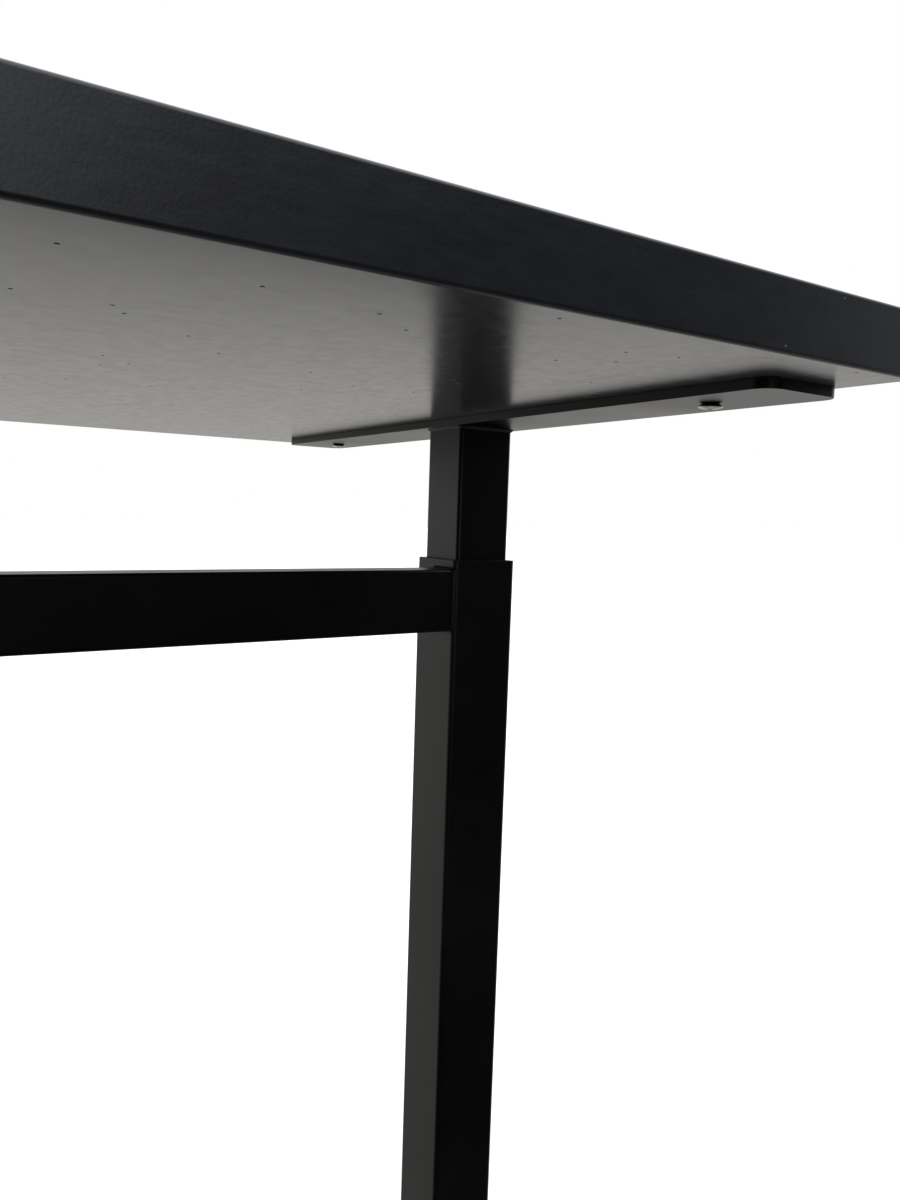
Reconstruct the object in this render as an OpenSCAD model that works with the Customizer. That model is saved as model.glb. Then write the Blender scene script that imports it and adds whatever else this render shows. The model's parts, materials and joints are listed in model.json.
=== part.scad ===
// Writing desk on two telescopic steel T-legs, with a pull-out keyboard tray under the worktop.
// Millimetres. X runs along the desk, -Y is the sitter's side, +Z is up, and the floor is Z = 0.
// The origin is on the floor, under the middle of the worktop.

/* [Worktop] */
// Length of the worktop
top_w = 1500; // [1200:10:2000]
// Depth of the worktop, front to back
top_d = 600; // [500:10:900]
// Thickness of the worktop over both laminates
top_t = 28; // [18:1:40]
// Thickness of the top laminate and of the backer
laminate_t = 0.8; // [0.5:0.1:1.2]
// Thickness of the edge band
band_t = 2; // [1.6:0.1:3]
// Rounding of the edge band's arrises
band_r = 1.5; // [0.5:0.1:1.5]
// Height of the worktop's surface above the floor, as stored
desk_h = 780; // [650:5:950]

/* [Legs] */
// Side of the square outer column
outer_size = 50; // [46:1:80]
// Wall of the outer column
outer_wall = 2; // [1.5:0.1:3]
// Side of the square inner column
inner_size = 42; // [24:1:42]
// Wall of the inner column
inner_wall = 2; // [1.5:0.1:3]
// Outside corner radius of both columns
column_r = 3.5; // [3.2:0.1:6]
// Distance from the worktop's end to the column's middle
leg_inset = 27.5; // [27.5:0.5:120]
// Inner column showing between the mounting plate and the outer column, as stored
inner_show = 90; // [85:1:160]
// Inner column held inside the outer column, as stored
inner_hidden = 330; // [300:5:380]
// Height of the guide bush in the outer column's mouth
bush_h = 40; // [34:1:60]

/* [Mounting plates] */
// Width of a mounting plate
plate_w = 52; // [44:1:54]
// Length of a mounting plate, front to back
plate_l = 532; // [300:2:560]
// Thickness of a mounting plate
plate_t = 5; // [3:0.5:8]
// Radius of a mounting plate's corners
plate_r = 9; // [2:1:15]
// Distance from a mounting plate's end to its screw
plate_screw_end = 54; // [15:1:90]

/* [Crossbar] */
// Height of the crossbar
crossbar_h = 42; // [25:1:60]
// Depth of the crossbar, front to back
crossbar_d = 25; // [20:1:44]
// Wall of the crossbar
crossbar_wall = 1.5; // [1.2:0.1:3]
// Drop from the outer column's mouth to the crossbar's top
crossbar_drop = 6; // [0:1:60]
// Setback of the crossbar's face behind the column's front face
crossbar_setback = 2; // [0:1:4]

/* [Feet] */
// Reach of a foot in front of its column's middle, over the end cap
foot_front = 290; // [230:5:300]
// Reach of a foot behind its column's middle, over the end cap
foot_back = 150; // [120:5:300]
// Width of a foot
foot_w = 50; // [46:1:55]
// Height of the foot's tube
foot_h = 30; // [24:1:50]
// Wall of the foot's tube
foot_wall = 2; // [1.5:0.1:3]
// Distance from a foot's end to its levelling glide
glide_end = 30; // [22:1:80]
// Diameter of a levelling glide's pad
glide_pad_d = 32; // [24:1:40]
// Height of a levelling glide's pad
glide_pad_h = 9; // [6:1:15]
// Diameter of a levelling glide's stud
glide_stud_d = 8; // [6:1:10]

/* [Keyboard tray] */
// Width of the tray's board
tray_w = 600; // [450:10:900]
// Depth of the tray's board
tray_d = 250; // [220:5:260]
// Thickness of the tray's board
tray_t = 18; // [15:1:22]
// Clear height between the tray and the worktop
tray_space = 72; // [45:1:110]
// Setback of the tray's front edge behind the worktop's front edge
tray_setback = 12; // [0:1:15]
// Travel of the tray
tray_travel = 180; // [120:5:190]
// Length of the slides
slide_l = 250; // [220:5:250]
// Height of the slides
slide_h = 27; // [24:1:35]
// Width of a slide from its bracket to the tray
slide_gap = 12.7; // [12.7:0.1:14]
// Width of a bracket's flange
bracket_w = 25; // [20:1:30]
// Thickness of a bracket
bracket_t = 2; // [1.5:0.1:3]

/* [Hidden] */
$fn = 64;

run_gap = 0.3;       // between pieces that slide past each other
thread_gap = 0.05;   // radial, between a screw and its nut
weld_land = 0.5;     // a hole's extra length at each face it breaks through

left = -1;
right = 1;
front = -1;
back = 1;

// Heights
underside_z = desk_h - top_t;
plate_z = underside_z - plate_t;
mouth_z = plate_z - inner_show;
crossbar_z = mouth_z - crossbar_drop - crossbar_h;
foot_z = glide_pad_h + run_gap;
column_z = foot_z + foot_h;

// Places along and across the desk
leg_x = top_w / 2 - leg_inset;
outer_half = outer_size / 2;
inner_half = inner_size / 2;
crossbar_y = -outer_half + crossbar_setback;

// Mounting plate screws: oval countersunk heads that stand a little proud
screw_head_d = 12;
screw_shank_d = 5;
screw_proud = 1.7;
screw_dome = 1.3;
screw_l = 24;
screw_hole_d = 5.6;
countersink_gap = 0.2;
recess_w = 1.3;
recess_l = 6;
recess_deep = 1.9;

// Clamp bolt and its rivet nut in the back wall of the outer column
clamp_drop = 20;
clamp_bolt_d = 8;
clamp_head_d = 13;
clamp_head_h = 7;
clamp_hex = 6;
clamp_hex_deep = 4;
insert_d = 11;
insert_flange_d = 15;
insert_flange_t = 1;

// Foot bolts, base nut plates, caps and glides
bolt_d = 8;
bolt_gap = 0.25;
bolt_head_d = 14;
bolt_head_h = 4;
bolt_offset = 13;
nut_plate_t = 6;
cap_t = 3;
cap_plug = 14;
cap_wall = 2;
cap_r = 2;
glide_foot_r = 1.5;
glide_stud_l = 20;
glide_nut_d = 14;
glide_nut_h = 6;

// Slide section, measured from the bracket towards the tray
rail_t = 1.2;
rail_reach = 9.7;
inner_rail_reach = 9.7;
ball_gap = 0.05;
ball_d = 4.6;
cage_t = 0.8;
cage_w = 8;
cage_inset = 2;
ball_pitch = 11;
rail_screw_d = 4;
rail_screw_head_d = 7;
rail_screw_head_h = 1.8;
rail_screw_end = 32;
bracket_screw_d = 4;
bracket_screw_head_d = 8.5;
bracket_screw_head_h = 2.4;
bracket_screw_l = 16;
bracket_screw_end = 25;
wood_screw_l = 14;

// Keyboard tray
tray_band_t = 1.2;
tray_band_r = 1;
tray_top_z = underside_z - tray_space;
tray_z = tray_top_z - tray_t;
tray_y = -top_d / 2 + tray_setback;
slide_mid_z = tray_z + tray_t / 2;
slide_y = tray_y;
slide_x = tray_w / 2 + slide_gap;
inner_rail_h = slide_h - 2 * rail_t - 2 * ball_d - 4 * ball_gap;
ball_z = inner_rail_h / 2 + ball_gap + ball_d / 2;
cage_l = slide_l - tray_travel;
cage_y = slide_y + tray_travel / 2;

// A rectangle of w by h with its lower left corner at the origin and true arcs at its corners
module round_rect(w, h, r) {
    if (r > 0) {
        translate([r, 0]) square([w - 2 * r, h]);
        translate([0, r]) square([w, h - 2 * r]);
        for (x = [r, w - r], y = [r, h - r]) translate([x, y]) circle(r);
    } else {
        square([w, h]);
    }
}

// A square or rectangular tube standing along Z, centred on the axis
module tube(w, d, h, wall, r) {
    inner_r = max(r - wall, 0.4);
    linear_extrude(h) difference() {
        translate([-w / 2, -d / 2]) round_rect(w, d, r);
        translate([-w / 2 + wall, -d / 2 + wall]) round_rect(w - 2 * wall, d - 2 * wall, inner_r);
    }
}

// Puts a piece drawn for the right end at the end named by side
module at_end(side) {
    if (side == left) mirror([1, 0, 0]) children();
    else children();
}

// Puts a piece drawn for the front at the front or the back
module at_face(face) {
    if (face == back) mirror([0, 1, 0]) children();
    else children();
}

// An edge band l long in X, of height h, with its outer face at y = 0 and its core side at y = t
module band_strip(l, h, t, r) {
    translate([-l / 2, 0, 0]) rotate([90, 0, 90]) linear_extrude(l) intersection() {
        round_rect(4 * t + 4 * r, h, r);
        square([t, h]);
    }
}

module worktop_core() {
    color("burlywood") translate([-top_w / 2 + band_t, -top_d / 2 + band_t, underside_z + laminate_t])
        cube([top_w - 2 * band_t, top_d - 2 * band_t, top_t - 2 * laminate_t]);
}

module worktop_skin(z) {
    translate([-top_w / 2 + band_t, -top_d / 2 + band_t, z])
        cube([top_w - 2 * band_t, top_d - 2 * band_t, laminate_t]);
}

module worktop_laminate() {
    color("#1c1c1e") worktop_skin(desk_h - laminate_t);
}

module worktop_backer() {
    color("#2a2a2c") worktop_skin(underside_z);
}

// The front and back bands run the whole length; the end bands fit between them
module long_edge_band(face) {
    color("#26272a") at_face(face) translate([0, -top_d / 2, underside_z])
        band_strip(top_w, top_t, band_t, band_r);
}

module end_edge_band(side) {
    color("#26272a") at_end(side) translate([top_w / 2, 0, underside_z]) rotate([0, 0, 90])
        band_strip(top_d - 2 * band_t, top_t, band_t, band_r);
}

module at_plate_screws() {
    for (y = [-1, 1]) translate([leg_x, y * (plate_l / 2 - plate_screw_end), plate_z]) children();
}

// The countersink follows the screw's cone, a little wider
module mounting_plate(side) {
    sink_d = screw_head_d - 2 * screw_proud + 2 * countersink_gap;
    sink_h = (sink_d - screw_hole_d) / 2;
    color("#17181a") at_end(side) difference() {
        translate([leg_x - plate_w / 2, -plate_l / 2, plate_z]) linear_extrude(plate_t)
            round_rect(plate_w, plate_l, plate_r);
        at_plate_screws() {
            translate([0, 0, -weld_land]) cylinder(h = plate_t + 2 * weld_land, d = screw_hole_d);
            cylinder(h = sink_h, d1 = sink_d, d2 = screw_hole_d);
        }
    }
}

module plate_screw() {
    cone_h = (screw_head_d - screw_shank_d) / 2;
    dome_r = (screw_head_d * screw_head_d / 4 + screw_dome * screw_dome) / (2 * screw_dome);
    translate([0, 0, -screw_proud]) difference() {
        union() {
            cylinder(h = cone_h, d1 = screw_head_d, d2 = screw_shank_d);
            cylinder(h = screw_l - 3, d = screw_shank_d);
            translate([0, 0, screw_l - 3]) cylinder(h = 3, d1 = screw_shank_d, d2 = 1);
            intersection() {
                translate([0, 0, dome_r - screw_dome]) sphere(dome_r);
                translate([0, 0, -screw_dome]) cylinder(h = screw_dome, d = screw_head_d);
            }
        }
        for (a = [20, 110]) rotate([0, 0, a]) translate([-recess_l / 2, -recess_w / 2, -screw_dome - weld_land])
            cube([recess_l, recess_w, recess_deep + weld_land]);
    }
}

module plate_screws() {
    color("silver") for (side = [left, right]) at_end(side) at_plate_screws() plate_screw();
}

module inner_column(side) {
    color("#1b1c20") at_end(side) translate([leg_x, 0, mouth_z - inner_hidden])
        tube(inner_size, inner_size, inner_hidden + inner_show, inner_wall, column_r - 0.5);
}

// A nylon plug in the inner column's foot, whose collar runs in the outer column
module column_slider(side) {
    collar = outer_size - 2 * outer_wall - 2 * run_gap;
    collar_h = 12;
    plug = inner_size - 2 * inner_wall;
    plug_h = 30;
    plug_wall = 3;
    color("dimgray") at_end(side) translate([leg_x, 0, mouth_z - inner_hidden]) {
        translate([0, 0, -collar_h]) tube(collar, collar, collar_h, (collar - plug) / 2 + plug_wall, 1.5);
        tube(plug, plug, plug_h, plug_wall, 1);
    }
}

// A round hole through a column's back wall, for the clamp
module clamp_hole(d, y0, y1) {
    translate([0, y0 - weld_land, mouth_z - clamp_drop]) rotate([-90, 0, 0])
        cylinder(h = y1 - y0 + 2 * weld_land, d = d);
}

module outer_column(side) {
    color("#1f2023") at_end(side) translate([leg_x, 0, 0]) difference() {
        translate([0, 0, column_z]) tube(outer_size, outer_size, mouth_z - column_z, outer_wall, column_r);
        clamp_hole(insert_d, outer_half - outer_wall, outer_half);
    }
}

module guide_bush(side) {
    bush_outer = outer_size - 2 * outer_wall;
    bush_wall = (bush_outer - inner_size) / 2 - run_gap;
    color("#101012") at_end(side) translate([leg_x, 0, 0]) difference() {
        translate([0, 0, mouth_z - bush_h])
            tube(bush_outer, bush_outer, bush_h, bush_wall, max(column_r - outer_wall, 0.4));
        clamp_hole(insert_d + 1, bush_outer / 2 - bush_wall, bush_outer / 2);
    }
}

module clamp_insert(side) {
    inside_l = outer_wall;
    color("silver") at_end(side) translate([leg_x, outer_half, mouth_z - clamp_drop]) rotate([-90, 0, 0])
        difference() {
            union() {
                translate([0, 0, -inside_l]) cylinder(h = inside_l, d = insert_d);
                cylinder(h = insert_flange_t, d = insert_flange_d);
            }
            translate([0, 0, -inside_l - weld_land])
                cylinder(h = inside_l + insert_flange_t + 2 * weld_land, d = clamp_bolt_d + 2 * thread_gap);
        }
}

module clamp_bolt(side) {
    tip_y = inner_half + run_gap;
    head_y = outer_half + insert_flange_t + run_gap;
    hex_d = clamp_hex / cos(30);
    color("#303236") at_end(side) translate([leg_x, 0, mouth_z - clamp_drop]) rotate([-90, 0, 0]) difference() {
        union() {
            translate([0, 0, tip_y]) cylinder(h = head_y - tip_y, d = clamp_bolt_d);
            translate([0, 0, head_y]) cylinder(h = clamp_head_h, d = clamp_head_d);
        }
        translate([0, 0, head_y + clamp_head_h - clamp_hex_deep])
            cylinder(h = clamp_hex_deep + weld_land, d = hex_d, $fn = 6);
    }
}

module crossbar() {
    length = 2 * (leg_x - outer_half);
    color("#0c0d0f") translate([-length / 2, crossbar_y + crossbar_d / 2, crossbar_z + crossbar_h / 2])
        rotate([90, 0, 90]) tube(crossbar_d, crossbar_h, length, crossbar_wall, 2);
}

function foot_reach(face) = face == front ? foot_front : foot_back;

module at_foot_bolts() {
    for (y = [-bolt_offset, bolt_offset]) translate([leg_x, y, 0]) children();
}

module at_glides() {
    for (y = [glide_end - foot_front, foot_back - glide_end]) translate([leg_x, y, 0]) children();
}

module foot(side) {
    color("#1f2023") at_end(side) difference() {
        translate([leg_x, foot_back - cap_t, foot_z + foot_h / 2]) rotate([90, 0, 0])
            tube(foot_w, foot_h, foot_front + foot_back - 2 * cap_t, foot_wall, 2.5);
        at_foot_bolts() translate([0, 0, foot_z - weld_land])
            cylinder(h = foot_h + 2 * weld_land, d = bolt_d + 2 * bolt_gap);
        at_glides() translate([0, 0, foot_z - weld_land])
            cylinder(h = foot_wall + 2 * weld_land, d = glide_stud_d + 2 * bolt_gap);
    }
}

module base_nut_plate(side) {
    plate = outer_size - 2 * outer_wall;
    color("#3a3b3e") at_end(side) difference() {
        translate([leg_x - plate / 2, -plate / 2, column_z]) linear_extrude(nut_plate_t)
            round_rect(plate, plate, max(column_r - outer_wall, 0.4));
        at_foot_bolts() translate([0, 0, column_z - weld_land])
            cylinder(h = nut_plate_t + 2 * weld_land, d = bolt_d + 2 * thread_gap);
    }
}

// Low button heads under the foot, with hexagon sockets
module foot_bolts() {
    stem_l = foot_h + nut_plate_t;
    socket_d = 5 / cos(30);
    color("#303236") for (side = [left, right]) at_end(side) at_foot_bolts() translate([0, 0, foot_z]) difference() {
        union() {
            translate([0, 0, -bolt_head_h]) cylinder(h = bolt_head_h, d1 = bolt_head_d - 4, d2 = bolt_head_d);
            cylinder(h = stem_l, d = bolt_d);
        }
        translate([0, 0, -bolt_head_h - weld_land]) cylinder(h = 3, d = socket_d, $fn = 6);
    }
}

module foot_cap(side, face) {
    plug_w = foot_w - 2 * foot_wall;
    plug_h = foot_h - 2 * foot_wall;
    color("#141416") at_end(side) at_face(face) translate([leg_x, cap_t - foot_reach(face), foot_z + foot_h / 2]) {
        rotate([90, 0, 0]) linear_extrude(cap_t) translate([-foot_w / 2, -foot_h / 2])
            round_rect(foot_w, foot_h, cap_r);
        rotate([-90, 0, 0]) tube(plug_w, plug_h, cap_plug, cap_wall, 1);
    }
}

module glide_nuts() {
    color("silver") for (side = [left, right]) at_end(side) at_glides() translate([0, 0, foot_z + foot_wall])
        difference() {
            cylinder(h = glide_nut_h, d = glide_nut_d / cos(30), $fn = 6);
            translate([0, 0, -weld_land])
                cylinder(h = glide_nut_h + 2 * weld_land, d = glide_stud_d + 2 * thread_gap);
        }
}

module at_glide(side, face) {
    at_end(side) at_face(face) translate([leg_x, glide_end - foot_reach(face), 0]) children();
}

// The pad's rim is rounded where it meets the floor and above
module glide_pad(side, face) {
    r = glide_pad_d / 2;
    color("#141416") at_glide(side, face) rotate_extrude() difference() {
        intersection() {
            translate([-r, 0]) round_rect(2 * r, glide_pad_h, glide_foot_r);
            square([r, glide_pad_h]);
        }
        translate([0, glide_pad_h / 2]) square([glide_stud_d / 2, glide_pad_h]);
    }
}

module glide_stud(side, face) {
    color("silver") at_glide(side, face) translate([0, 0, glide_pad_h / 2])
        cylinder(h = glide_pad_h / 2 + run_gap + glide_stud_l, d = glide_stud_d);
}

module at_bracket_screws() {
    for (y = [bracket_screw_end, slide_l / 2, slide_l - bracket_screw_end])
        translate([slide_x + bracket_t + (bracket_w - bracket_t) / 2, slide_y + y, underside_z - bracket_t])
            children();
}

// The rail screws' axis, running outwards from a plane at distance x from the desk's middle
module at_rail_screws(x) {
    for (y = [rail_screw_end, slide_l - rail_screw_end])
        translate([x, slide_y + y, slide_mid_z]) rotate([0, 90, 0]) children();
}

module tray_bracket(side) {
    web_z = slide_mid_z - slide_h / 2;
    color("#1b1c1e") at_end(side) difference() {
        union() {
            translate([slide_x, slide_y, web_z]) cube([bracket_t, slide_l, underside_z - web_z]);
            translate([slide_x, slide_y, underside_z - bracket_t]) cube([bracket_w, slide_l, bracket_t]);
        }
        at_bracket_screws() translate([0, 0, -weld_land])
            cylinder(h = bracket_t + 2 * weld_land, d = bracket_screw_d + 2 * bolt_gap);
        at_rail_screws(slide_x - weld_land)
            cylinder(h = bracket_t + 2 * weld_land, d = rail_screw_d + 2 * thread_gap);
    }
}

// A pan head with its bearing face at z = 0 and its shank along +Z
module pan_screw(d, l, head_d, head_h) {
    difference() {
        union() {
            translate([0, 0, -head_h]) cylinder(h = head_h, d1 = head_d * 0.7, d2 = head_d);
            cylinder(h = l, d = d);
        }
        for (a = [0, 90]) rotate([0, 0, a]) translate([-head_d * 0.25, -0.4, -head_h - weld_land])
            cube([head_d * 0.5, 0.8, head_h * 0.6 + weld_land]);
    }
}

module bracket_screws() {
    color("silver") for (side = [left, right]) at_end(side) at_bracket_screws()
        pan_screw(bracket_screw_d, bracket_screw_l, bracket_screw_head_d, bracket_screw_head_h);
}

// A channel of height h and reach w, its web at x = 0 and its flanges along +X
module channel(h, w, t) {
    translate([0, 0, -h / 2]) cube([t, slide_l, h]);
    for (z = [-h / 2, h / 2 - t]) translate([0, 0, z]) cube([w, slide_l, t]);
}

module outer_rail(side) {
    color("gainsboro") at_end(side) difference() {
        translate([slide_x, slide_y, slide_mid_z]) mirror([1, 0, 0]) channel(slide_h, rail_reach, rail_t);
        at_rail_screws(slide_x - rail_t - weld_land)
            cylinder(h = rail_t + 2 * weld_land, d = rail_screw_d + 2 * bolt_gap);
    }
}

module outer_rail_screws() {
    color("silver") for (side = [left, right]) at_end(side) at_rail_screws(slide_x - rail_t)
        pan_screw(rail_screw_d, rail_t + bracket_t + 1, rail_screw_head_d, rail_screw_head_h);
}

// Two ball strips, above and below the inner rail, each a thin retainer with its balls
module ball_cage(side) {
    strip_x = slide_x - cage_inset - cage_w;
    balls = floor((cage_l - ball_d) / ball_pitch);
    color("goldenrod") at_end(side) for (row = [-1, 1]) translate([0, cage_y, slide_mid_z + row * ball_z]) {
        translate([strip_x, 0, -cage_t / 2]) cube([cage_w, cage_l, cage_t]);
        for (i = [0:balls]) translate([strip_x + cage_w / 2, cage_l / 2 + (i - balls / 2) * ball_pitch, 0])
            sphere(d = ball_d);
    }
}

module inner_rail(side) {
    color("gainsboro") at_end(side) difference() {
        translate([tray_w / 2, slide_y, slide_mid_z]) channel(inner_rail_h, inner_rail_reach, rail_t);
        at_rail_screws(tray_w / 2 - weld_land)
            cylinder(h = rail_t + 2 * weld_land, d = rail_screw_d + 2 * bolt_gap);
    }
}

module inner_rail_screws() {
    color("silver") for (side = [left, right]) at_end(side) mirror([1, 0, 0]) at_rail_screws(-tray_w / 2 - rail_t)
        pan_screw(rail_screw_d, wood_screw_l, rail_screw_head_d, rail_screw_head_h);
}

module tray_board() {
    color("#1c1c1e") difference() {
        translate([-tray_w / 2, tray_y + tray_band_t, tray_z]) cube([tray_w, tray_d - 2 * tray_band_t, tray_t]);
        for (side = [left, right]) at_end(side) at_rail_screws(tray_w / 2 + rail_t - wood_screw_l)
            cylinder(h = wood_screw_l, d = rail_screw_d);
    }
}

module tray_band(face) {
    y = face == front ? tray_y : -tray_y - tray_d;
    color("#26272a") at_face(face) translate([0, y, tray_z])
        band_strip(tray_w, tray_t, tray_band_t, tray_band_r);
}

worktop_core();
worktop_laminate();
worktop_backer();
long_edge_band(front);  // front_edge_band
long_edge_band(back);  // back_edge_band
end_edge_band(left);  // left_edge_band
end_edge_band(right);  // right_edge_band
mounting_plate(left);  // left_mounting_plate
mounting_plate(right);  // right_mounting_plate
plate_screws();
inner_column(left);  // left_inner_column
inner_column(right);  // right_inner_column
column_slider(left);  // left_column_slider
column_slider(right);  // right_column_slider
outer_column(left);  // left_outer_column
outer_column(right);  // right_outer_column
guide_bush(left);  // left_guide_bush
guide_bush(right);  // right_guide_bush
clamp_insert(left);  // left_clamp_insert
clamp_insert(right);  // right_clamp_insert
clamp_bolt(left);  // left_clamp_bolt
clamp_bolt(right);  // right_clamp_bolt
crossbar();
foot(left);  // left_foot
foot(right);  // right_foot
base_nut_plate(left);  // left_base_nut_plate
base_nut_plate(right);  // right_base_nut_plate
foot_bolts();
foot_cap(left, front);  // left_front_foot_cap
foot_cap(left, back);  // left_back_foot_cap
foot_cap(right, front);  // right_front_foot_cap
foot_cap(right, back);  // right_back_foot_cap
glide_nuts();
glide_pad(left, front);  // left_front_glide_pad
glide_pad(left, back);  // left_back_glide_pad
glide_pad(right, front);  // right_front_glide_pad
glide_pad(right, back);  // right_back_glide_pad
glide_stud(left, front);  // left_front_glide_stud
glide_stud(left, back);  // left_back_glide_stud
glide_stud(right, front);  // right_front_glide_stud
glide_stud(right, back);  // right_back_glide_stud
tray_bracket(left);  // left_tray_bracket
tray_bracket(right);  // right_tray_bracket
bracket_screws();
outer_rail(left);  // left_outer_rail
outer_rail(right);  // right_outer_rail
outer_rail_screws();
ball_cage(left);  // left_ball_cage
ball_cage(right);  // right_ball_cage
inner_rail(left);  // left_inner_rail
inner_rail(right);  // right_inner_rail
inner_rail_screws();
tray_board();
tray_band(front);  // tray_front_band
tray_band(back);  // tray_back_band
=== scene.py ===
import bpy
import json
import math
from mathutils import Matrix, Vector

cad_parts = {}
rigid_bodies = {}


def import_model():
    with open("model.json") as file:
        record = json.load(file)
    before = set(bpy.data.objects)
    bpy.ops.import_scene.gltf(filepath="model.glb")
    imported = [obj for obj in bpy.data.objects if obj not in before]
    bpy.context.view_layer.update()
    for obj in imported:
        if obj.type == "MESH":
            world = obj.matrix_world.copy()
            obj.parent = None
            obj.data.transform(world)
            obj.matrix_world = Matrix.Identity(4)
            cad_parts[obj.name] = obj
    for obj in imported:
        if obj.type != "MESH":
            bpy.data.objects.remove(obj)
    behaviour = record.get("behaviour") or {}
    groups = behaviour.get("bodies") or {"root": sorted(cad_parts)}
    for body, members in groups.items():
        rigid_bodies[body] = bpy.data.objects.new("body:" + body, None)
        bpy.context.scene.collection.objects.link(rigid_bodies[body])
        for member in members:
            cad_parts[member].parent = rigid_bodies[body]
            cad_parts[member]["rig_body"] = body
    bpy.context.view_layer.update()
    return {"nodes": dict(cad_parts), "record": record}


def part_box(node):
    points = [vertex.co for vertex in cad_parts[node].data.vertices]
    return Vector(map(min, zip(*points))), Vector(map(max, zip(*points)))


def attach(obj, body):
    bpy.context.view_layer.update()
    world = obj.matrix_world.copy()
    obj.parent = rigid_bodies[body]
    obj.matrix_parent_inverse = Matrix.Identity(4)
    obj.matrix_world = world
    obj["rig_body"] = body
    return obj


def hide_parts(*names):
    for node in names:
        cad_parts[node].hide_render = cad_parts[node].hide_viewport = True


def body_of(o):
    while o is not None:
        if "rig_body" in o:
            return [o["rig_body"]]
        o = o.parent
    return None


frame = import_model()
nodes = frame["nodes"]
slotOf = {row["node"]: row["material_slot"] for row in frame["record"]["subparts"]}
mm = 0.001
sides = ("left", "right")
ends = ("front", "back")


cameraSet = {
    "place": (0.3798, -0.5095, 0.6900),  # in front of the worktop's right half and just below it, in metres
    "turn": 32.97,                        # degrees to the right of straight ahead
    "tilt": -5.85,                        # degrees, below the horizon
    "roll": 1.86,                         # degrees
    "lens": 25.97, "sensor": 36,          # mm
    "near": 0.01, "far": 200,             # what it can see, in metres
}


def placeCamera():
    turn, tilt, roll = (math.radians(cameraSet[k]) for k in ("turn", "tilt", "roll"))
    ahead = Vector((math.sin(turn), math.cos(turn), 0))
    across = Vector((math.cos(turn), -math.sin(turn), 0))
    up = Vector((0, 0, 1))
    look = math.cos(tilt) * ahead + math.sin(tilt) * up
    above = math.cos(tilt) * up - math.sin(tilt) * ahead
    xAxis = math.cos(roll) * across + math.sin(roll) * above
    yAxis = math.cos(roll) * above - math.sin(roll) * across
    data = bpy.data.cameras.new("deskCamera")
    data.lens = cameraSet["lens"]
    data.sensor_width = cameraSet["sensor"]
    data.clip_start = cameraSet["near"]
    data.clip_end = cameraSet["far"]
    camera = bpy.data.objects.new("deskCamera", data)
    bpy.context.scene.collection.objects.link(camera)
    camera.matrix_world = Matrix((xAxis, yAxis, -look)).transposed().to_4x4()
    camera.location = cameraSet["place"]
    bpy.context.scene.camera = camera


placeCamera()
print("camera placed")


def linearColour(hexText):
    parts = [int(hexText[i:i + 2], 16) / 255 for i in (1, 3, 5)]
    return [p / 12.92 if p <= 0.04045 else ((p + 0.055) / 1.055) ** 2.4 for p in parts] + [1]


def addNode(tree, kind, settings=None, inputs=None):
    node = tree.nodes.new(kind)
    for name, value in (settings or {}).items():
        setattr(node, name, value)
    for name, value in (inputs or {}).items():
        socket = node.inputs[name]
        if isinstance(value, bpy.types.NodeSocket):
            tree.links.new(value, socket)
        else:
            socket.default_value = value
    return node


def newMaterial(name, uniform):
    material = bpy.data.materials.new(name)
    material.use_nodes = True
    tree = material.node_tree
    shader = tree.nodes["Principled BSDF"]
    for socketName, value in uniform.items():
        shader.inputs[socketName].default_value = value
    return material, tree, shader


def fillRamp(node, stops):
    ramp = node.color_ramp
    while len(ramp.elements) > 1:
        ramp.elements.remove(ramp.elements[-1])
    for i, (at, colour) in enumerate(stops):
        element = ramp.elements[0] if i == 0 else ramp.elements.new(at)
        element.position = at
        element.color = linearColour(colour) if isinstance(colour, str) else (colour, colour, colour, 1)


def objectPoint(tree, size):
    # Object coordinates divided by a size in millimetres: one for all the axes, or one for each
    sizes = size if isinstance(size, tuple) else (size, size, size)
    place = addNode(tree, "ShaderNodeTexCoord")
    scale = tuple(1 / (s * mm) for s in sizes)
    inputs = {"Vector": place.outputs["Object"], "Scale": scale}
    return addNode(tree, "ShaderNodeMapping", {}, inputs).outputs[0]


def noise(tree, point, detail, scale=1):
    inputs = {"Vector": point, "Scale": scale, "Detail": detail}
    return addNode(tree, "ShaderNodeTexNoise", {}, inputs).outputs["Fac"]


def cells(tree, point, **settings):
    # The distance to the nearest of many scattered points, one in each cell
    return addNode(tree, "ShaderNodeTexVoronoi", settings, {"Vector": point, "Scale": 1}).outputs["Distance"]


def remap(tree, value, before, after):
    # A value carried from one range to another, and held at the ends
    return addNode(tree, "ShaderNodeMapRange", {}, {
        "Value": value, "From Min": before[0], "From Max": before[1],
        "To Min": after[0], "To Max": after[1]}).outputs[0]


def combine(tree, operation, *values):
    return addNode(tree, "ShaderNodeMath", {"operation": operation}, dict(enumerate(values))).outputs[0]


def blendColour(tree, share, first, second):
    return addNode(tree, "ShaderNodeMix", {"data_type": "RGBA"}, {0: share, 6: first, 7: second}).outputs[2]


def shades(tree, value, dark, light, span=(0.35, 0.65)):
    # From the dark shade to the light one, where the value crosses the span
    ramp = addNode(tree, "ShaderNodeValToRGB", {}, {"Fac": value})
    fillRamp(ramp, [(span[0], dark), (span[1], light)])
    return ramp.outputs["Color"]


def relief(tree, height, distance):
    # Bumps in the shading only, with their full height in millimetres
    return addNode(tree, "ShaderNodeBump", {}, {
        "Height": height, "Strength": 1, "Distance": distance * mm}).outputs["Normal"]


def connect(tree, shader, outputs):
    for name, output in outputs.items():
        tree.links.new(output, shader.inputs[name])


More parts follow.
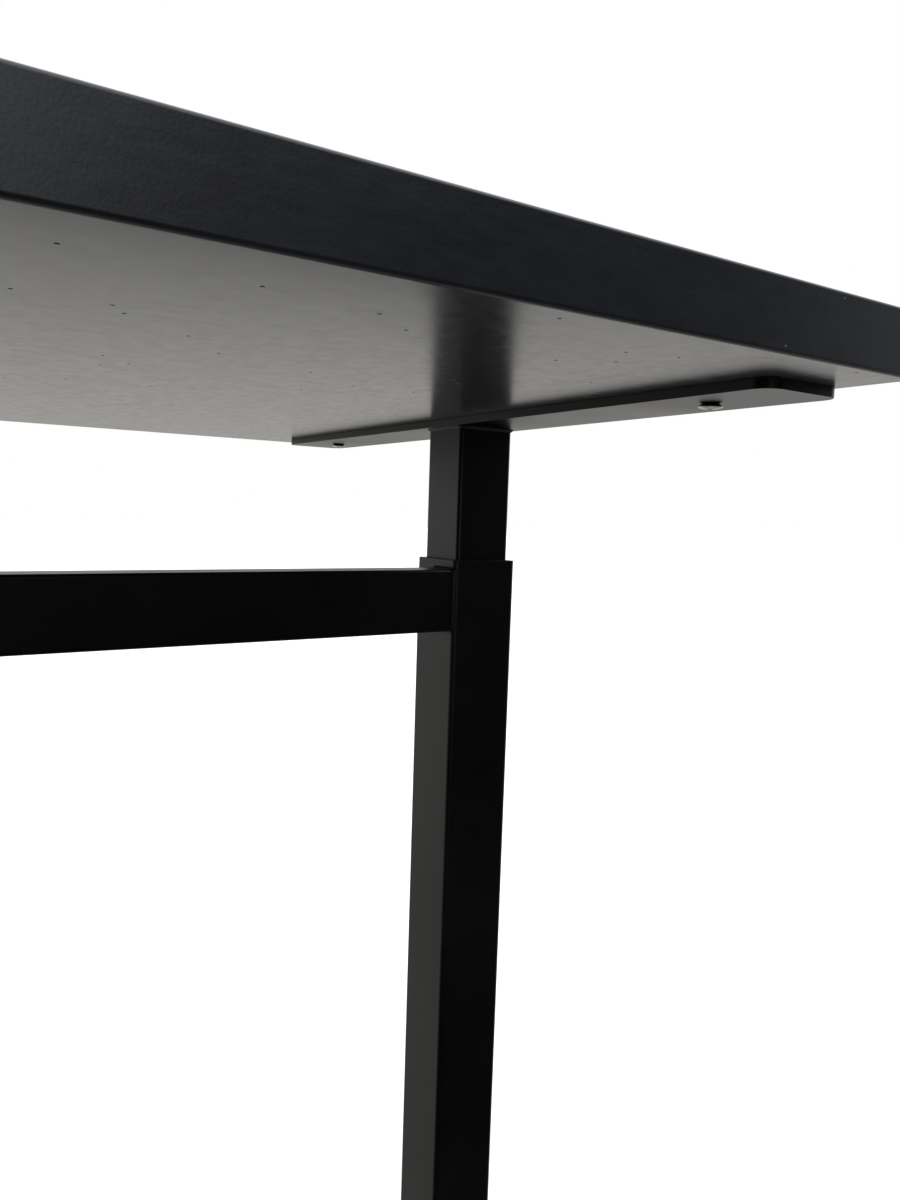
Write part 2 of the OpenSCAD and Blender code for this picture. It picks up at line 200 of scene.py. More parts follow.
def paint(nodeNames, material):
    for name in nodeNames:
        mesh = nodes[name].data
        mesh.materials.clear()
        mesh.materials.append(material)


noiseSpan = (0.3, 0.7)  # where nearly all of a noise's values lie

powderCoatSet = {
    "dark": "#020203", "light": "#050506",
    "roughness": (0.30, 0.38),
    "cloud": 120,         # mm, slow drifts of shade and sheen
    "peel": 1.6,          # mm between the coat's orange-peel bumps, drawn coarser than the real 0.6
    "peelHeight": 0.012,  # mm
    "grain": 0.45,        # mm
    "grainShare": 0.35,   # the grain's height as a share of the peel's
    "dust": 9,            # mm between specks of dust in the coat
    "nib": (0.02, 0.05),  # the radius of a speck's top and of its foot, as shares of that
    "nibShare": 0.8,      # a speck's height as a share of the peel's
}


def powderCoat():
    # Satin black polyester powder on steel: deep black with a soft sheen, a faint orange peel and a few nibs
    s = powderCoatSet
    material, tree, shader = newMaterial("satinBlackPowderCoat", {"IOR": 1.45, "Specular IOR Level": 0.34})
    peel = noise(tree, objectPoint(tree, s["peel"]), 2)
    grain = noise(tree, objectPoint(tree, s["grain"]), 1)
    cloud = noise(tree, objectPoint(tree, s["cloud"]), 4)
    nib = remap(tree, cells(tree, objectPoint(tree, s["dust"])), s["nib"], (1, 0))
    grained = combine(tree, "MULTIPLY_ADD", grain, s["grainShare"], peel)
    height = combine(tree, "MULTIPLY_ADD", nib, s["nibShare"], grained)
    connect(tree, shader, {
        "Base Color": shades(tree, cloud, s["dark"], s["light"]),
        "Roughness": remap(tree, cloud, noiseSpan, s["roughness"]),
        "Normal": relief(tree, height, s["peelHeight"])})
    return material


edgeBandSet = {
    "dark": "#0a0b0e", "light": "#0f1014", "pale": "#5a5b5e",
    "roughness": (0.30, 0.345),
    "cloud": (60, 60, 20),     # mm
    "scuff": (12, 12, 3),      # mm, drawn out along the band
    "scuffSpan": (0.35, 0.65),
    "pearl": 1.1,              # mm between the embossed pearls
    "pearlMerge": 0.7,         # how softly they run into each other
    "pearlHeight": 0.02,       # mm
    "fineScale": 2.4,          # how many times finer the grain on the pearls is
    "fineShare": 0.6,          # its height as a share of the pearls'
    "fleck": 14,               # mm between pale flecks
    "fleckSize": (0.02, 0.04),  # the radius of a fleck's middle and of its rim, as shares of that
}


def edgeBand():
    # Extruded black ABS with an embossed pearl grain: a cooler and paler black than the metal, with scuffs
    s = edgeBandSet
    material, tree, shader = newMaterial("embossedBlackAbs", {"IOR": 1.5, "Specular IOR Level": 0.5})
    pearlPoint = objectPoint(tree, s["pearl"])
    pearl = addNode(tree, "ShaderNodeTexVoronoi", {"feature": "SMOOTH_F1"}, {
        "Vector": pearlPoint, "Scale": 1, "Smoothness": s["pearlMerge"]})
    fine = noise(tree, pearlPoint, 2, s["fineScale"])
    cloud = noise(tree, objectPoint(tree, s["cloud"]), 5)
    scuff = noise(tree, objectPoint(tree, s["scuff"]), 3)
    fleck = remap(tree, cells(tree, objectPoint(tree, s["fleck"])), s["fleckSize"], (1, 0))
    height = combine(tree, "MULTIPLY_ADD", fine, s["fineShare"], pearl.outputs["Distance"])
    plain = shades(tree, cloud, s["dark"], s["light"])
    connect(tree, shader, {
        "Base Color": blendColour(tree, fleck, plain, linearColour(s["pale"])),
        "Roughness": remap(tree, scuff, s["scuffSpan"], s["roughness"]),
        "Normal": relief(tree, height, s["pearlHeight"])})
    return material


laminateSet = {
    # The underside's grain runs along the board's length; the top's is nearly even both ways. Grain in mm,
    # a speck's middle and rim as shares of the distance between specks
    "pressedBlackBacker": {"ridge": (2.4, 0.6, 2.4), "ridgeHeight": 0.0095, "speckSize": (0.009, 0.019)},
    "pressedBlackLaminate": {"ridge": (1.6, 1.4, 1.6), "ridgeHeight": 0.010, "speckSize": (0.001, 0.002)},
    "dark": "#1e1e1f", "light": "#252526", "speckColour": "#020202",
    "roughness": (0.21, 0.26),
    "mottle": 6,                  # mm, faint clouds where the pressed face follows the chips under it
    "scratch": (130, 1.6, 50),    # mm
    "scratchSpan": (0.69, 0.74),  # only the noise's highest values show as scratches
    "scratchDull": 0.05,          # added roughness
    "speck": 52,                  # mm between dull dark specks
}


def laminate(name):
    # Black melamine pressed against a finely grained plate: a soft mirror at a grazing angle, with
    # dull specks, faint clouds and handling scratches
    s, face = laminateSet, laminateSet[name]
    material, tree, shader = newMaterial(name, {"IOR": 1.5, "Specular IOR Level": 0.5})
    mottle = noise(tree, objectPoint(tree, s["mottle"]), 4)
    ridge = noise(tree, objectPoint(tree, face["ridge"]), 1)
    scratch = remap(tree, noise(tree, objectPoint(tree, s["scratch"]), 2), s["scratchSpan"], (0, 1))
    speckPoint = objectPoint(tree, s["speck"])
    speck = remap(tree, cells(tree, speckPoint, voronoi_dimensions="2D"), face["speckSize"], (1, 0))
    even = remap(tree, mottle, noiseSpan, s["roughness"])
    scratched = combine(tree, "MULTIPLY_ADD", scratch, s["scratchDull"], even)
    plain = shades(tree, mottle, s["dark"], s["light"])
    connect(tree, shader, {
        "Base Color": blendColour(tree, speck, plain, linearColour(s["speckColour"])),
        "Roughness": combine(tree, "MAXIMUM", scratched, speck),
        "Normal": relief(tree, ridge, face["ridgeHeight"])})
    return material


metalSet = {  # cloud, streak and height in mm
    # Bright zinc plate on steel screws: pale and slightly warm, clouded where the plate is thin
    "brightZincPlate": {"dull": "#a3a29c", "bright": "#d9d8d2", "cloud": 5, "roughness": (0.34, 0.16),
                        "streak": (0.25, 6, 6), "height": 0.004},
    # Roll-formed galvanised strip: cool grey with faint lines along the rolling
    "rolledGalvanisedStrip": {"dull": "#8d9093", "bright": "#b9bcbe", "cloud": 14, "roughness": (0.42, 0.28),
                              "streak": (0.4, 60, 0.4), "height": 0.006},
    # Bearing balls and their retainer: bright polished steel under a thin film of grease
    "greasedBearingSteel": {"dull": "#9b978c", "bright": "#c9c6bc", "cloud": 3, "roughness": (0.30, 0.12),
                            "streak": (1.5, 1.5, 1.5), "height": 0.002},
    # Black oxide on machine bolts: a brown-black metal with a dull oil sheen
    "blackOxideSteel": {"dull": "#131212", "bright": "#232221", "cloud": 4, "roughness": (0.46, 0.34),
                        "streak": (0.3, 0.3, 0.3), "height": 0.006},
}


def metalFinish(name):
    s = metalSet[name]
    material, tree, shader = newMaterial(name, {"Metallic": 1})
    cloud = noise(tree, objectPoint(tree, s["cloud"]), 4)
    streak = noise(tree, objectPoint(tree, s["streak"]), 2)
    connect(tree, shader, {
        "Base Color": shades(tree, cloud, s["dull"], s["bright"], (0.35, 0.62)),
        "Roughness": remap(tree, cloud, noiseSpan, s["roughness"]),
        "Normal": relief(tree, streak, s["height"])})
    return material


nylonSet = {
    "dark": "#0e0e0f", "light": "#161617",
    "roughness": (0.42, 0.55),
    "cloud": 18,                        # mm
    "spark": 0.7, "sparkHeight": 0.03,  # mm, the texture that the mould leaves
}


def mouldedNylon():
    # Injection-moulded black nylon with a spark-eroded texture: duller and softer than the coat beside it
    s = nylonSet
    material, tree, shader = newMaterial("sparkTexturedNylon", {"IOR": 1.53, "Specular IOR Level": 0.5})
    spark = noise(tree, objectPoint(tree, s["spark"]), 2)
    cloud = noise(tree, objectPoint(tree, s["cloud"]), 3)
    connect(tree, shader, {
        "Base Color": shades(tree, cloud, s["dark"], s["light"]),
        "Roughness": remap(tree, cloud, noiseSpan, s["roughness"]),
        "Normal": relief(tree, spark, s["sparkHeight"])})
    return material


particleSet = {
    "dark": "#7d5f3c", "light": "#c7a777",
    "chip": (1.2, 4.0, 1.2), "chipHeight": 0.15,  # mm
}


def rawParticleboard():
    # Pressed wood chips: pale and dark flakes lying flat, with a rough open face
    s = particleSet
    material, tree, shader = newMaterial("rawParticleboard", {"Roughness": 0.85, "Specular IOR Level": 0.3})
    chip = addNode(tree, "ShaderNodeTexVoronoi", {}, {"Vector": objectPoint(tree, s["chip"]), "Scale": 1})
    shade = addNode(tree, "ShaderNodeSeparateColor", {}, {0: chip.outputs["Color"]})
    connect(tree, shader, {
        "Base Color": shades(tree, shade.outputs[0], s["dark"], s["light"], (0.1, 0.9)),
        "Normal": relief(tree, chip.outputs["Distance"], s["chipHeight"])})
    return material


zinc, railSteel, bearingSteel, blackOxide = (metalFinish(name) for name in metalSet)
finishes = {
    "black_laminate": laminate("pressedBlackBacker"), "particleboard": rawParticleboard(),
    "abs_edge_band": edgeBand(), "black_powder_coat": powderCoat(), "black_nylon": mouldedNylon(),
    "bright_zinc": zinc, "black_oxide_steel": blackOxide, "rail_steel": railSteel,
    "bearing_steel": bearingSteel,
}
for name, slot in slotOf.items():
    paint([name], finishes[slot])
paint(["worktop_laminate", "tray_board"], laminate("pressedBlackLaminate"))
print("materials made")


studioSet = {
    "floorColour": "#fbfbfa",
    "floorSize": 60,               # m
    "backdrop": 1.0,               # what the camera sees behind the object
    # Height looked towards, and brightness there: behind the desk, and on the darker side in front of it
    "behind": ((-0.70, 0.34), (-0.28, 0.64), (-0.10, 0.76), (0.25, 1.05)),
    "infront": ((-0.12, 0.01), (0.25, 0.04)),
    "frontToBack": (-0.40, 0.35),  # where the one side runs into the other
    "sideShare": 0.35,             # how far the brightness reaches round the right-hand side
    "warm": "#fffdf8", "cool": "#f6f9ff",  # tint of the light from below the horizon and from above it
    "tintSpan": (-0.05, 0.10),
    "overhead": 2.3,               # a large soft ceiling light
    "overheadSpan": (0.35, 0.85),
    "window": 1.45,                # a soft window high on the front left
    "windowTowards": (-0.34, -0.84, 0.42),
    "windowSpread": (0.82, 0.98),  # cosine of the angle where it starts, and where it is full
}


def makeFloor():
    bpy.ops.object.select_all(action="DESELECT")
    bpy.ops.mesh.primitive_plane_add(size=studioSet["floorSize"])
    floor = bpy.context.active_object
    floor.name = "studioFloor"
    material, tree, shader = newMaterial("paleStudioPaper", {"Roughness": 0.9, "Specular IOR Level": 0.1})
    shader.inputs["Base Color"].default_value = linearColour(studioSet["floorColour"])
    floor.data.materials.append(material)
    floor.visible_glossy = False  # gloss mirrors the even surroundings instead of the floor's shadows


def makeSurroundings():
    # A soft room: light behind and above, a dim side in front with one high window
    s = studioSet
    world = bpy.data.worlds.new("softStudio")
    bpy.context.scene.world = world
    world.use_nodes = True
    tree = world.node_tree
    tree.nodes.clear()

    def step(value, span, top):
        # Nothing below the span, rising softly to the top
        return addNode(tree, "ShaderNodeMapRange", {"interpolation_type": "SMOOTHSTEP"}, {
            "Value": value, "From Min": span[0], "From Max": span[1], "To Min": 0, "To Max": top}).outputs[0]

    def heightRamp(stops):
        # Brightness against height, carried by a colour ramp over heights from -1 to 1
        ramp = addNode(tree, "ShaderNodeValToRGB", {}, {"Fac": share})
        fillRamp(ramp, [((at + 1) / 2, value) for at, value in stops])
        return ramp.outputs["Color"]

    towards = addNode(tree, "ShaderNodeTexCoord").outputs["Generated"]
    parts = addNode(tree, "ShaderNodeSeparateXYZ", {}, {0: towards}).outputs
    share = combine(tree, "MULTIPLY_ADD", parts["Z"], 0.5, 0.5)
    turnedY = combine(tree, "MULTIPLY_ADD", parts["X"], s["sideShare"], parts["Y"])
    toBack = step(turnedY, s["frontToBack"], 1)
    around = blendColour(tree, toBack, heightRamp(s["infront"]), heightRamp(s["behind"]))
    overhead = step(parts["Z"], s["overheadSpan"], s["overhead"])
    facing = addNode(tree, "ShaderNodeVectorMath", {"operation": "DOT_PRODUCT"}, {
        0: towards, 1: Vector(s["windowTowards"]).normalized()})
    window = step(facing.outputs["Value"], s["windowSpread"], s["window"])
    glow = combine(tree, "ADD", combine(tree, "MAXIMUM", around, overhead), window)
    rise = step(parts["Z"], s["tintSpan"], 1)
    tint = blendColour(tree, rise, linearColour(s["warm"]), linearColour(s["cool"]))
    byCamera = addNode(tree, "ShaderNodeLightPath").outputs["Is Camera Ray"]
    seen = addNode(tree, "ShaderNodeMix", {"data_type": "FLOAT"}, {0: byCamera, 2: glow, 3: s["backdrop"]})
    shown = blendColour(tree, byCamera, tint, (1, 1, 1, 1))
    background = addNode(tree, "ShaderNodeBackground", {}, {"Color": shown, "Strength": seen.outputs[0]})
    addNode(tree, "ShaderNodeOutputWorld", {}, {"Surface": background.outputs[0]})


makeFloor()
makeSurroundings()
bpy.context.scene.view_settings.view_transform = "Standard"
print("studio ready")


def clearSelection():
    if bpy.context.object and bpy.context.object.mode != "OBJECT":
        bpy.ops.object.mode_set(mode="OBJECT")
    bpy.ops.object.select_all(action="DESELECT")


def makeActive(piece):
    clearSelection()
    piece.select_set(True)
    bpy.context.view_layer.objects.active = piece


def addModifier(piece, kind, **settings):
    modifier = piece.modifiers.new(kind.lower(), kind)
    for name, value in settings.items():
        setattr(modifier, name, value)
    bpy.ops.object.modifier_apply(modifier=modifier.name)


def finishPiece(piece, name, body, slot, replaced=(), smoothAngle=32):
    makeActive(piece)
    bpy.ops.object.transform_apply(location=True, rotation=True, scale=True)
    bpy.ops.object.shade_smooth_by_angle(angle=math.radians(smoothAngle))
    piece.name = name
    piece.data.name = name
    piece.data.materials.clear()
    piece.data.materials.append(finishes[slot])
    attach(piece, body)
    if replaced:
        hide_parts(*replaced)
    return piece


def copyMoved(piece, matrix):
    # A copy with its own mesh, moved or mirrored in the mesh itself
    twin = piece.copy()
    twin.data = piece.data.copy()
    bpy.context.scene.collection.objects.link(twin)
    twin.data.transform(matrix)
    if matrix.determinant() < 0:
        twin.data.flip_normals()
    twin.data.update()
    return twin


def turned(rings, segments):
    # A turned solid on the Z axis at the origin: rings of radius and height in mm, closed at both ends
    clearSelection()
    radius, height = rings[0]
    bpy.ops.mesh.primitive_circle_add(vertices=segments, radius=radius * mm, fill_type="NGON",
                                      location=(0, 0, height * mm))
    piece = bpy.context.active_object
    bpy.ops.object.mode_set(mode="EDIT")
    for nextRadius, nextHeight in rings[1:]:
        bpy.ops.mesh.extrude_region_move(TRANSFORM_OT_translate={"value": (0, 0, (nextHeight - height) * mm)})
        bpy.ops.transform.resize(value=(nextRadius / radius, nextRadius / radius, 1),
                                 center_override=(0, 0, nextHeight * mm))
        radius, height = nextRadius, nextHeight
    bpy.ops.mesh.select_all(action="SELECT")
    bpy.ops.mesh.normals_make_consistent(inside=False)
    bpy.ops.object.mode_set(mode="OBJECT")
    bpy.ops.object.transform_apply(location=True, rotation=True, scale=True)
    return piece


def cutOut(piece, cutter):
    makeActive(piece)
    addModifier(piece, "BOOLEAN", operation="DIFFERENCE", solver="EXACT", object=cutter)
    bpy.data.objects.remove(cutter, do_unlink=True)


crossTip = (0.45, 0.7)  # the length and width left at a driver cross's bottom, as shares


def crossCutter(length, width, depth, face):
    # A driver's cross, narrowing into the head; face is the height of the head's outer face, depth runs up
    bits = []
    for turn in (0, 90):
        clearSelection()
        bpy.ops.mesh.primitive_cube_add(size=1, location=(0, 0, 0))
        bit = bpy.context.active_object
        bpy.ops.object.mode_set(mode="EDIT")
        bpy.ops.transform.resize(value=(length * mm, width * mm, (depth + 1) * mm))
        bpy.ops.transform.translate(value=(0, 0, (face + (depth - 1) / 2) * mm))
        bpy.ops.object.mode_set(mode="OBJECT")
        bpy.ops.object.transform_apply(location=True, rotation=True, scale=True)
        for vertex in bit.data.vertices:
            vertex.select = vertex.co.z > (face + depth / 2) * mm
        bpy.ops.object.mode_set(mode="EDIT")
        bpy.ops.transform.resize(value=(*crossTip, 1), center_override=(0, 0, 0))
        bpy.ops.object.mode_set(mode="OBJECT")
        bit.data.transform(Matrix.Rotation(math.radians(turn), 4, "Z"))
        bits.append(bit)
    makeActive(bits[0])
    addModifier(bits[0], "BOOLEAN", operation="UNION", solver="EXACT", object=bits[1])
    bpy.data.objects.remove(bits[1], do_unlink=True)
    return bits[0]


plateScrewSet = {  # mm and degrees
    "head": 12, "proud": 1.7, "dome": 1.3, "shank": 5, "length": 24, "segments": 64,
    "crossLength": 6.2, "crossWidth": 1.25, "crossDepth": 2.6, "crossTurn": 20,
    "endToScrew": 54,
    "domeRings": (1.2, 2.4, 3.6, 4.6, 5.3, 5.75),  # radii
}


def makePlateScrews():
    s = plateScrewSet
    r = s["head"] / 2
    rim = -s["proud"]
    crown = rim - s["dome"]
    shank = s["shank"] / 2
    domeRadius = (r * r + s["dome"] ** 2) / (2 * s["dome"])
    rings = [(d, crown + domeRadius - math.sqrt(domeRadius ** 2 - d * d)) for d in s["domeRings"]]
    rings += [(r - 0.06, rim - 0.22), (r, rim - 0.02), (r - 0.1, rim + 0.16)]  # the rim, slightly rounded
    rings += [(shank, r - shank + rim), (shank, s["length"] - 5), (0.5, s["length"] - 1.8)]  # shank and point
    screw = turned(rings, s["segments"])
    cutOut(screw, crossCutter(s["crossLength"], s["crossWidth"], s["crossDepth"], crown))
    screw.data.transform(Matrix.Rotation(math.radians(s["crossTurn"]), 4, "Z"))
    for side in sides:
        low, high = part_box(side + "_mounting_plate")
        for end in ends:
            y = low[1] + s["endToScrew"] * mm if end == "front" else high[1] - s["endToScrew"] * mm
            twin = copyMoved(screw, Matrix.Translation(((low[0] + high[0]) / 2, y, low[2])))
            finishPiece(twin, f"{side}_{end}_plate_screw", "worktop", "bright_zinc", ["plate_screws"])
    bpy.data.objects.remove(screw, do_unlink=True)


panScrewSet = {  # mm
    "bracket": {"head": 8.5, "headHeight": 2.4, "shank": 4, "length": 16},
    "rail": {"head": 7, "headHeight": 1.8, "shank": 4, "length": 4.2},
    "tray": {"head": 7, "headHeight": 1.8, "shank": 4, "length": 14},
    # A head's outline from its crown to its seat, as shares of its radius and height
    "outline": ((0.30, 1), (0.56, 0.985), (0.74, 0.9), (0.87, 0.7),
                (0.95, 0.45), (1, 0.16), (1, 0.05), (0.985, 0)),
    "segments": 40,
    "crossWidth": 0.9,
    "crossShare": 0.5, "crossDeep": 0.7,   # the cross's length and depth, as shares of the head's
    "bracketInset": 25, "railInset": 32,   # from the slides' ends
    "bracketSheet": 2, "railSheet": 1.2,   # thicknesses
}


def panScrew(s):
    r, h, shank = s["head"] / 2, s["headHeight"], s["shank"] / 2
    rings = [(r * a, -h * b) for a, b in panScrewSet["outline"]] + [(shank, 0), (shank, s["length"])]
    screw = turned(rings, panScrewSet["segments"])
    length, depth = s["head"] * panScrewSet["crossShare"], h * panScrewSet["crossDeep"]
    cutOut(screw, crossCutter(length, panScrewSet["crossWidth"], depth, -h))
    return screw


def makePanScrews():
    s = panScrewSet
    toRight = Matrix.Rotation(math.radians(90), 4, "Y")  # the shank's +Z turns to +X
    toLeft = Matrix.Rotation(math.radians(-90), 4, "Y")
    bracketScrew, railScrew, trayScrew = (panScrew(s[kind]) for kind in ("bracket", "rail", "tray"))
    bracketSheet, railSheet = s["bracketSheet"] * mm, s["railSheet"] * mm
    for side in sides:
        isRight = side == "right"
        low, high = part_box(side + "_tray_bracket")
        middle = (low[1] + high[1]) / 2
        reach = (high[1] - low[1]) / 2
        flangeMiddle = (low[0] + high[0]) / 2 + (1 if isRight else -1) * bracketSheet / 2
        for i, y in enumerate((-1, 0, 1)):
            along = middle + y * (reach - s["bracketInset"] * mm)
            place = Matrix.Translation((flangeMiddle, along, high[2] - bracketSheet))
            twin = copyMoved(bracketScrew, place)
            finishPiece(twin, f"{side}_bracket_screw_{i + 1}", "worktop", "bright_zinc", ["bracket_screws"])
        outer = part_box(side + "_outer_rail")
        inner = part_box(side + "_inner_rail")
        z = (outer[0][2] + outer[1][2]) / 2
        outerWeb = outer[1][0] - railSheet if isRight else outer[0][0] + railSheet
        innerWeb = inner[0][0] + railSheet if isRight else inner[1][0] - railSheet
        outward, inward = (toRight, toLeft) if isRight else (toLeft, toRight)
        for i, y in enumerate((-1, 1)):
            along = middle + y * (reach - s["railInset"] * mm)
            twin = copyMoved(railScrew, Matrix.Translation((outerWeb, along, z)) @ outward)
            name = f"{side}_outer_rail_screw_{i + 1}"
            finishPiece(twin, name, "worktop", "bright_zinc", ["outer_rail_screws"])
            twin = copyMoved(trayScrew, Matrix.Translation((innerWeb, along, z)) @ inward)
            name = f"{side}_inner_rail_screw_{i + 1}"
            finishPiece(twin, name, "keyboard_tray", "bright_zinc", ["inner_rail_screws"])
    for screw in (bracketScrew, railScrew, trayScrew):
        bpy.data.objects.remove(screw, do_unlink=True)


clampBoltSet = {  # mm
    "head": 13, "headHeight": 7, "shank": 8, "shankLength": 5,
    "hex": 6, "hexDepth": 4,     # the socket, across its flats
    "teeth": 60, "knurl": 0.28,  # how many, and how deep
    "smoothAngle": 24,           # degrees; the knurl's edges turn by more than this and stay crisp
}


def makeClampBolts():
    s = clampBoltSet
    r, h, shank, tip = s["head"] / 2, s["headHeight"], s["shank"] / 2, -s["shankLength"]
    rings = [(shank - 0.7, tip), (shank, tip + 0.8), (shank, 0),
             (r - 0.5, 0), (r - 0.1, 0.4), (r, 0.6),
             (r, h - 1.3), (r - 0.1, h - 1.1), (r - 0.75, h - 0.15), (r - 1.1, h)]
    bolt = turned(rings, s["teeth"] * 2)
    for vertex in bolt.data.vertices:  # the knurl: every other line of the head's side stands back
        x, y, _ = vertex.co
        line = round(math.atan2(y, x) / math.pi * s["teeth"])
        vertex.select = math.hypot(x, y) > (r - 0.05) * mm and line % 2 == 0
    for face in bolt.data.polygons:
        face.select = False
    makeActive(bolt)
    bpy.ops.object.mode_set(mode="EDIT")
    bpy.ops.mesh.select_mode(type="VERT")
    scale = 1 - s["knurl"] / r
    bpy.ops.transform.resize(value=(scale, scale, 1), center_override=(0, 0, 0))
    bpy.ops.object.mode_set(mode="OBJECT")
    clearSelection()
    cornerRadius = s["hex"] / 2 / math.cos(math.radians(30))
    middle = h - (s["hexDepth"] - 1) / 2  # the cutter stands 1 mm out of the head
    bpy.ops.mesh.primitive_cylinder_add(vertices=6, radius=cornerRadius * mm,
                                        depth=(s["hexDepth"] + 1) * mm, location=(0, 0, middle * mm))
    cutter = bpy.context.active_object
    bpy.ops.object.transform_apply(location=True, rotation=True, scale=True)
    cutOut(bolt, cutter)
    toBack = Matrix.Rotation(math.radians(-90), 4, "X")  # the head's +Z turns to +Y
    for side in sides:
        low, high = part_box(side + "_clamp_bolt")
        place = ((low[0] + high[0]) / 2, high[1] - h * mm, (low[2] + high[2]) / 2)
        twin = copyMoved(bolt, Matrix.Translation(place) @ toBack)
        finishPiece(twin, side + "_knurled_clamp_bolt", side + "_clamp", "black_oxide_steel",
                    [side + "_clamp_bolt"], s["smoothAngle"])
    bpy.data.objects.remove(bolt, do_unlink=True)


makePlateScrews()
makePanScrews()
makeClampBolts()
print("screws and bolts made")


weldSet = {  # mm
    # leg: the bead's reach along each face; corner: the tube's corner radius; buried: how far the bead runs
    # on into the piece it meets
    "plate": {"leg": 2.0, "corner": 3.5, "buried": 0.3},
    "bar": {"leg": 1.5, "corner": 2, "buried": 1.6},
    "ripple": 1.3, "rippleHeight": 0.07,  # the coat fills most of the ripple
    "smoothAngle": 60,                    # degrees
}


def weldRing(halfX, halfY, bead):
    # A closed bead round a rectangular tube that stands along -Z under the plane z = 0
    leg, corner, buried = bead["leg"], bead["corner"], bead["buried"]
    clearSelection()
    bpy.ops.mesh.primitive_plane_add(size=1)
    ring = bpy.context.active_object
    bpy.ops.object.mode_set(mode="EDIT")
    bpy.ops.transform.resize(value=(2 * halfX * mm, 2 * halfY * mm, 1))
    bpy.ops.mesh.delete(type="ONLY_FACE")
    bpy.ops.mesh.select_all(action="SELECT")
    bpy.ops.mesh.bevel(offset=corner * mm, segments=6, affect="VERTICES")
    bpy.ops.object.mode_set(mode="OBJECT")
    points = [v.co.copy() for v in ring.data.vertices]
    for edge in ring.data.edges:
        edge.select = (points[edge.vertices[0]] - points[edge.vertices[1]]).length > 3 * mm
    bpy.ops.object.mode_set(mode="EDIT")
    bpy.ops.mesh.select_mode(type="EDGE")
    bpy.ops.mesh.subdivide(number_cuts=int(2 * min(halfX, halfY) / weldSet["ripple"] * 2))
    bpy.ops.mesh.select_all(action="SELECT")
    profile = [(-0.3, -leg - 0.1), (0.06, -leg), (0.28 * leg, -0.70 * leg), (0.60 * leg, -0.38 * leg),
               (0.94 * leg, -0.04), (leg, buried), (-0.3, buried)]
    out, height = 0, 0
    for i, (nextOut, nextHeight) in enumerate(profile + profile[:1]):
        if i > 0:
            bpy.ops.mesh.extrude_region_move()
        bpy.ops.transform.translate(value=(0, 0, (nextHeight - height) * mm))
        growX, growY = (halfX + nextOut) / (halfX + out), (halfY + nextOut) / (halfY + out)
        bpy.ops.transform.resize(value=(growX, growY, 1), center_override=(0, 0, 0))
        out, height = nextOut, nextHeight
    bpy.ops.mesh.select_all(action="SELECT")
    bpy.ops.mesh.remove_doubles(threshold=0.01 * mm)
    bpy.ops.mesh.normals_make_consistent(inside=False)
    bpy.ops.object.mode_set(mode="OBJECT")
    for vertex in ring.data.vertices:
        if -0.9 * leg * mm < vertex.co.z < -0.1 * mm:
            along = vertex.co.x + vertex.co.y
            turn = along / mm * 2 * math.pi / weldSet["ripple"]
            vertex.co.z -= math.sin(turn) * weldSet["rippleHeight"] * mm
    return ring


def halfSizes(name):
    # Half a node's width, depth and height, in mm to the nearest hundredth
    low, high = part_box(name)
    return [round((high[i] - low[i]) / 2 / mm, 2) for i in range(3)]


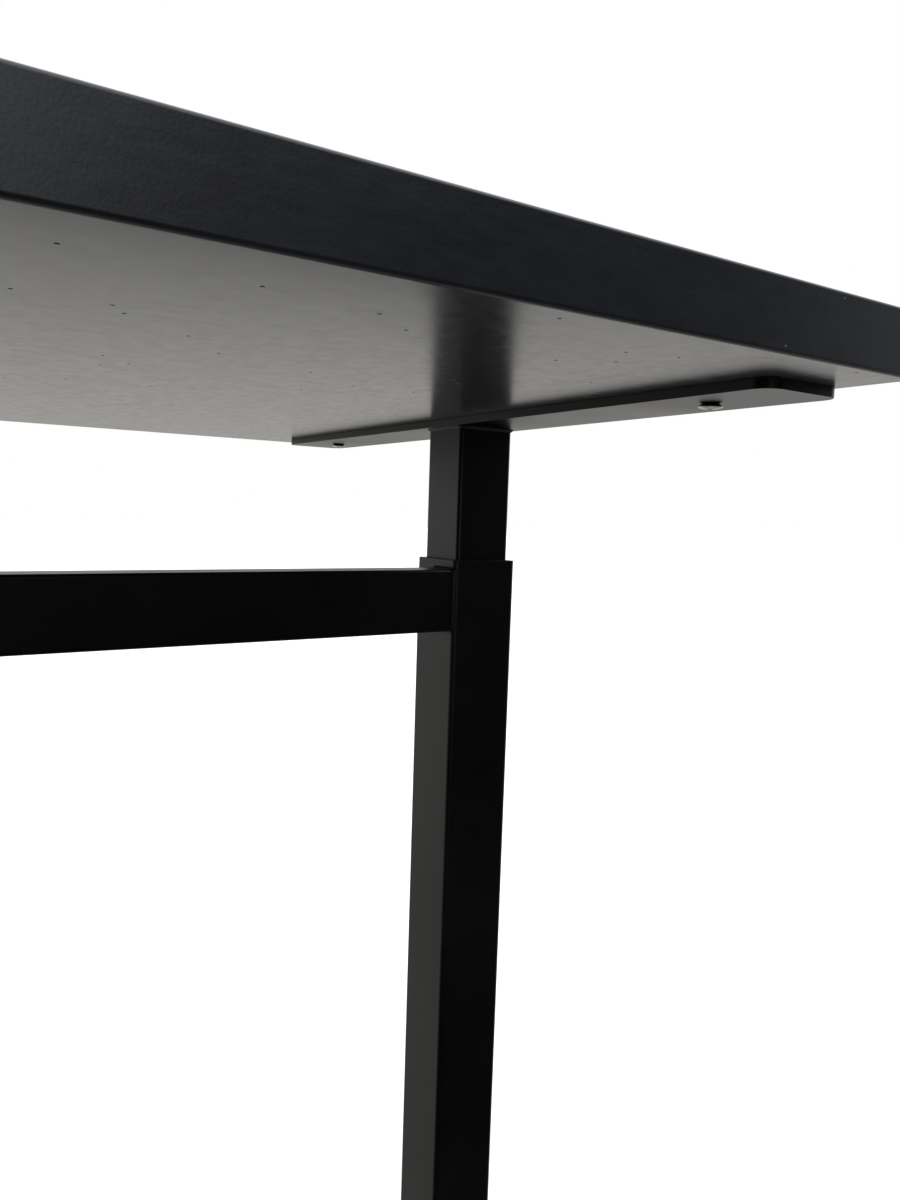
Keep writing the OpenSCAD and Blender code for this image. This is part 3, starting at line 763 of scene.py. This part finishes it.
def makeWelds():
    postX, postY, _ = halfSizes("right_inner_column")
    _, barY, barZ = halfSizes("crossbar")
    plateBead = weldRing(postX, postY, weldSet["plate"])
    barBead = weldRing(barZ, barY, weldSet["bar"])
    for side in sides:
        sign = 1 if side == "right" else -1
        low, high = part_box(side + "_inner_column")
        twin = copyMoved(plateBead, Matrix.Translation(((low[0] + high[0]) / 2, 0, high[2])))
        finishPiece(twin, side + "_plate_weld", "worktop", "black_powder_coat",
                    smoothAngle=weldSet["smoothAngle"])
        low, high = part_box("crossbar")
        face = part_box(side + "_outer_column")[0 if side == "right" else 1][0]
        turn = Matrix.Rotation(math.radians(90 * sign), 4, "Y")  # the bead's +Z turns towards the column
        place = Matrix.Translation((face, (low[1] + high[1]) / 2, (low[2] + high[2]) / 2))
        twin = copyMoved(barBead, place @ turn)
        finishPiece(twin, side + "_crossbar_weld", "base_frame", "black_powder_coat",
                    smoothAngle=weldSet["smoothAngle"])
    bpy.data.objects.remove(plateBead, do_unlink=True)
    bpy.data.objects.remove(barBead, do_unlink=True)


makeWelds()
print("welds made")


softenSet = {
    "joinWithin": 0.002,  # mm, vertices closer than this become one
    "flatWithin": 0.8,    # degrees, faces that turn less than this become one
    "edgeOver": 50,       # degrees, only edges sharper than this are broken
    # A node's ending: the broken edge's radius in mm, its segments, and the finished piece's ending
    "pieces": {
        "_mounting_plate": (0.25, 2, "_coated_plate"),
        "_outer_column": (0.45, 2, "_coated_column"),
        "_inner_column": (0.4, 2, "_coated_post"),
        "_tray_bracket": (0.35, 2, "_coated_bracket"),
        "_foot_cap": (0.9, 3, "_moulded_cap"),
        "_guide_bush": (0.4, 2, "_moulded_bush"),
        "_outer_rail": (0.22, 2, "_rolled_rail"),
        "_inner_rail": (0.22, 2, "_rolled_rail_inner"),
    },
}


def softenNode(name, radius, segments, newName):
    # A copy of a node's own mesh with its edges broken, which stands in for the node
    s = softenSet
    source = nodes[name]
    piece = bpy.data.objects.new(newName, source.data.copy())
    bpy.context.scene.collection.objects.link(piece)
    makeActive(piece)
    bpy.ops.object.mode_set(mode="EDIT")
    bpy.ops.mesh.select_all(action="SELECT")
    bpy.ops.mesh.remove_doubles(threshold=s["joinWithin"] * mm)
    bpy.ops.mesh.dissolve_limited(angle_limit=math.radians(s["flatWithin"]))
    bpy.ops.object.mode_set(mode="OBJECT")
    addModifier(piece, "BEVEL", width=radius * mm, segments=segments, limit_method="ANGLE",
                angle_limit=math.radians(s["edgeOver"]), harden_normals=False, use_clamp_overlap=True)
    finishPiece(piece, newName, body_of(source)[0], slotOf[name], [name])
    # Large faces keep their own normals, so that only the broken edges shade round
    addModifier(piece, "WEIGHTED_NORMAL", mode="FACE_AREA", weight=100, keep_sharp=True)


for name in list(nodes):
    for ending, (radius, segments, newEnding) in softenSet["pieces"].items():
        if name.endswith(ending):
            softenNode(name, radius, segments, name[:-len(ending)] + newEnding)
print("edges broken")
